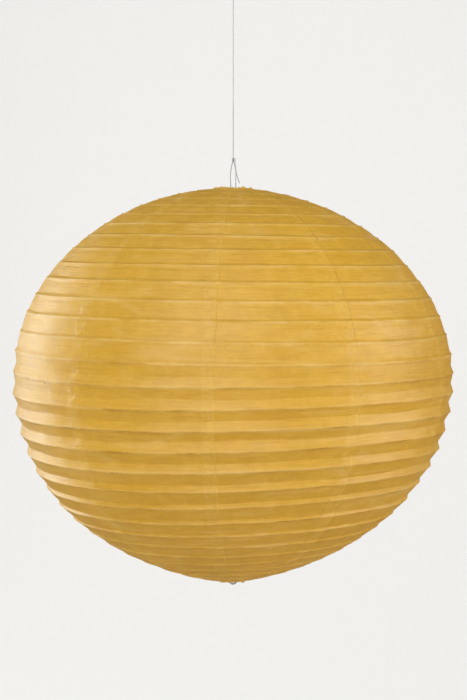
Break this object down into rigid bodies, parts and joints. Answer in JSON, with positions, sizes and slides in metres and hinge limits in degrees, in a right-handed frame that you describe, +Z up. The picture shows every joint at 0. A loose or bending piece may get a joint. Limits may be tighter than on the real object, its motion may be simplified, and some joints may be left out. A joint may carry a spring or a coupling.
{
  "type": "paper lantern",
  "caption": "Round pleated paper lantern on wire hoops, hung from a nylon line by a wire expander frame; the globe folds flat.",
  "frame": {"origin": "centre of the cut top end of the hanging line, on the lantern's axis", "axes": "+Z up along the line; +X and +Y level, with the eye of the frame lying in the YZ plane"},
  "size_m": [0.3996, 0.3974, 0.5872],
  "materials": {
    "paper": "thin dyed tissue paper, matt, translucent",
    "hoop_wire": "plain drawn steel wire",
    "frame_wire": "galvanised steel wire",
    "nylon": "clear monofilament"
  },
  "bodies": {
    "line": {"suspension_line": "nylon"},
    "expander": {"wire_expander": "frame_wire"},
    "globe_top": {"top_mouth_ring": "hoop_wire", "paper_gore_01": "paper", "paper_gore_02": "paper", "paper_gore_03": "paper", "paper_gore_04": "paper", "paper_gore_05": "paper", "paper_gore_06": "paper", "paper_gore_07": "paper", "paper_gore_08": "paper", "paper_gore_09": "paper", "paper_gore_10": "paper"},
    "bottom_ring": {"bottom_mouth_ring": "hoop_wire"},
    "hoop_01": {"rib_hoop_01": "hoop_wire"},
    "hoop_02": {"rib_hoop_02": "hoop_wire"},
    "hoop_03": {"rib_hoop_03": "hoop_wire"},
    "hoop_04": {"rib_hoop_04": "hoop_wire"},
    "hoop_05": {"rib_hoop_05": "hoop_wire"},
    "hoop_06": {"rib_hoop_06": "hoop_wire"},
    "hoop_07": {"rib_hoop_07": "hoop_wire"},
    "hoop_08": {"rib_hoop_08": "hoop_wire"},
    "hoop_09": {"rib_hoop_09": "hoop_wire"},
    "hoop_10": {"rib_hoop_10": "hoop_wire"},
    "hoop_11": {"rib_hoop_11": "hoop_wire"},
    "hoop_12": {"rib_hoop_12": "hoop_wire"},
    "hoop_13": {"rib_hoop_13": "hoop_wire"},
    "hoop_14": {"rib_hoop_14": "hoop_wire"},
    "hoop_15": {"rib_hoop_15": "hoop_wire"},
    "hoop_16": {"rib_hoop_16": "hoop_wire"},
    "hoop_17": {"rib_hoop_17": "hoop_wire"},
    "hoop_18": {"rib_hoop_18": "hoop_wire"},
    "hoop_19": {"rib_hoop_19": "hoop_wire"},
    "hoop_20": {"rib_hoop_20": "hoop_wire"},
    "hoop_21": {"rib_hoop_21": "hoop_wire"},
    "hoop_22": {"rib_hoop_22": "hoop_wire"},
    "hoop_23": {"rib_hoop_23": "hoop_wire"},
    "hoop_24": {"rib_hoop_24": "hoop_wire"},
    "hoop_25": {"rib_hoop_25": "hoop_wire"},
    "hoop_26": {"rib_hoop_26": "hoop_wire"},
    "hoop_27": {"rib_hoop_27": "hoop_wire"},
    "hoop_28": {"rib_hoop_28": "hoop_wire"},
    "hoop_29": {"rib_hoop_29": "hoop_wire"},
    "hoop_30": {"rib_hoop_30": "hoop_wire"}
  },
  "joints": [
    {"name": "swing", "type": "hinge", "parent": "line", "child": "expander", "pos_m": [0, 0, -0.227], "axis": [0, 1, 0], "range_deg": [-20, 20]},
    {"name": "turn", "type": "hinge", "parent": "expander", "child": "globe_top", "pos_m": [0, 0, -0.22649], "axis": [0, 0, 1], "continuous": true},
    {"name": "collapse", "type": "slide", "parent": "globe_top", "child": "bottom_ring", "axis": [0, 0, 1], "range_m": [0, 0.3182], "deforming": ["paper_gore_01", "paper_gore_02", "paper_gore_03", "paper_gore_04", "paper_gore_05", "paper_gore_06", "paper_gore_07", "paper_gore_08", "paper_gore_09", "paper_gore_10"]},
    {"name": "hoop_01_slide", "type": "slide", "parent": "globe_top", "child": "hoop_01", "axis": [0, 0, 1], "range_m": [0, 0.0018]},
    {"name": "hoop_02_slide", "type": "slide", "parent": "globe_top", "child": "hoop_02", "axis": [0, 0, 1], "range_m": [0, 0.0048]},
    {"name": "hoop_03_slide", "type": "slide", "parent": "globe_top", "child": "hoop_03", "axis": [0, 0, 1], "range_m": [0, 0.0091]},
    {"name": "hoop_04_slide", "type": "slide", "parent": "globe_top", "child": "hoop_04", "axis": [0, 0, 1], "range_m": [0, 0.0147]},
    {"name": "hoop_05_slide", "type": "slide", "parent": "globe_top", "child": "hoop_05", "axis": [0, 0, 1], "range_m": [0, 0.0215]},
    {"name": "hoop_06_slide", "type": "slide", "parent": "globe_top", "child": "hoop_06", "axis": [0, 0, 1], "range_m": [0, 0.0295]},
    {"name": "hoop_07_slide", "type": "slide", "parent": "globe_top", "child": "hoop_07", "axis": [0, 0, 1], "range_m": [0, 0.0387]},
    {"name": "hoop_08_slide", "type": "slide", "parent": "globe_top", "child": "hoop_08", "axis": [0, 0, 1], "range_m": [0, 0.0491]},
    {"name": "hoop_09_slide", "type": "slide", "parent": "globe_top", "child": "hoop_09", "axis": [0, 0, 1], "range_m": [0, 0.0606]},
    {"name": "hoop_10_slide", "type": "slide", "parent": "globe_top", "child": "hoop_10", "axis": [0, 0, 1], "range_m": [0, 0.0731]},
    {"name": "hoop_11_slide", "type": "slide", "parent": "globe_top", "child": "hoop_11", "axis": [0, 0, 1], "range_m": [0, 0.0867]},
    {"name": "hoop_12_slide", "type": "slide", "parent": "globe_top", "child": "hoop_12", "axis": [0, 0, 1], "range_m": [0, 0.101]},
    {"name": "hoop_13_slide", "type": "slide", "parent": "globe_top", "child": "hoop_13", "axis": [0, 0, 1], "range_m": [0, 0.1161]},
    {"name": "hoop_14_slide", "type": "slide", "parent": "globe_top", "child": "hoop_14", "axis": [0, 0, 1], "range_m": [0, 0.1317]},
    {"name": "hoop_15_slide", "type": "slide", "parent": "globe_top", "child": "hoop_15", "axis": [0, 0, 1], "range_m": [0, 0.1477]},
    {"name": "hoop_16_slide", "type": "slide", "parent": "globe_top", "child": "hoop_16", "axis": [0, 0, 1], "range_m": [0, 0.1639]},
    {"name": "hoop_17_slide", "type": "slide", "parent": "globe_top", "child": "hoop_17", "axis": [0, 0, 1], "range_m": [0, 0.1798]},
    {"name": "hoop_18_slide", "type": "slide", "parent": "globe_top", "child": "hoop_18", "axis": [0, 0, 1], "range_m": [0, 0.1956]},
    {"name": "hoop_19_slide", "type": "slide", "parent": "globe_top", "child": "hoop_19", "axis": [0, 0, 1], "range_m": [0, 0.2107]},
    {"name": "hoop_20_slide", "type": "slide", "parent": "globe_top", "child": "hoop_20", "axis": [0, 0, 1], "range_m": [0, 0.2253]},
    {"name": "hoop_21_slide", "type": "slide", "parent": "globe_top", "child": "hoop_21", "axis": [0, 0, 1], "range_m": [0, 0.2389]},
    {"name": "hoop_22_slide", "type": "slide", "parent": "globe_top", "child": "hoop_22", "axis": [0, 0, 1], "range_m": [0, 0.2516]},
    {"name": "hoop_23_slide", "type": "slide", "parent": "globe_top", "child": "hoop_23", "axis": [0, 0, 1], "range_m": [0, 0.2633]},
    {"name": "hoop_24_slide", "type": "slide", "parent": "globe_top", "child": "hoop_24", "axis": [0, 0, 1], "range_m": [0, 0.2738]},
    {"name": "hoop_25_slide", "type": "slide", "parent": "globe_top", "child": "hoop_25", "axis": [0, 0, 1], "range_m": [0, 0.2833]},
    {"name": "hoop_26_slide", "type": "slide", "parent": "globe_top", "child": "hoop_26", "axis": [0, 0, 1], "range_m": [0, 0.2916]},
    {"name": "hoop_27_slide", "type": "slide", "parent": "globe_top", "child": "hoop_27", "axis": [0, 0, 1], "range_m": [0, 0.299]},
    {"name": "hoop_28_slide", "type": "slide", "parent": "globe_top", "child": "hoop_28", "axis": [0, 0, 1], "range_m": [0, 0.3054]},
    {"name": "hoop_29_slide", "type": "slide", "parent": "globe_top", "child": "hoop_29", "axis": [0, 0, 1], "range_m": [0, 0.3109]},
    {"name": "hoop_30_slide", "type": "slide", "parent": "globe_top", "child": "hoop_30", "axis": [0, 0, 1], "range_m": [0, 0.3155]}
  ],
  "couplings": [
    {"joint": "hoop_01_slide", "follows": "collapse", "ratio": 0.00394},
    {"joint": "hoop_02_slide", "follows": "collapse", "ratio": 0.01352},
    {"joint": "hoop_03_slide", "follows": "collapse", "ratio": 0.0271},
    {"joint": "hoop_04_slide", "follows": "collapse", "ratio": 0.04456},
    {"joint": "hoop_05_slide", "follows": "collapse", "ratio": 0.06594},
    {"joint": "hoop_06_slide", "follows": "collapse", "ratio": 0.09112},
    {"joint": "hoop_07_slide", "follows": "collapse", "ratio": 0.11998},
    {"joint": "hoop_08_slide", "follows": "collapse", "ratio": 0.15259},
    {"joint": "hoop_09_slide", "follows": "collapse", "ratio": 0.1888},
    {"joint": "hoop_10_slide", "follows": "collapse", "ratio": 0.22808},
    {"joint": "hoop_11_slide", "follows": "collapse", "ratio": 0.27075},
    {"joint": "hoop_12_slide", "follows": "collapse", "ratio": 0.31588},
    {"joint": "hoop_13_slide", "follows": "collapse", "ratio": 0.36338},
    {"joint": "hoop_14_slide", "follows": "collapse", "ratio": 0.41247},
    {"joint": "hoop_15_slide", "follows": "collapse", "ratio": 0.46265},
    {"joint": "hoop_16_slide", "follows": "collapse", "ratio": 0.51341},
    {"joint": "hoop_17_slide", "follows": "collapse", "ratio": 0.56357},
    {"joint": "hoop_18_slide", "follows": "collapse", "ratio": 0.61299},
    {"joint": "hoop_19_slide", "follows": "collapse", "ratio": 0.66049},
    {"joint": "hoop_20_slide", "follows": "collapse", "ratio": 0.70639},
    {"joint": "hoop_21_slide", "follows": "collapse", "ratio": 0.74929},
    {"joint": "hoop_22_slide", "follows": "collapse", "ratio": 0.78928},
    {"joint": "hoop_23_slide", "follows": "collapse", "ratio": 0.82586},
    {"joint": "hoop_24_slide", "follows": "collapse", "ratio": 0.85893},
    {"joint": "hoop_25_slide", "follows": "collapse", "ratio": 0.88868},
    {"joint": "hoop_26_slide", "follows": "collapse", "ratio": 0.91483},
    {"joint": "hoop_27_slide", "follows": "collapse", "ratio": 0.93797},
    {"joint": "hoop_28_slide", "follows": "collapse", "ratio": 0.95826},
    {"joint": "hoop_29_slide", "follows": "collapse", "ratio": 0.97562},
    {"joint": "hoop_30_slide", "follows": "collapse", "ratio": 0.99003}
  ]
}
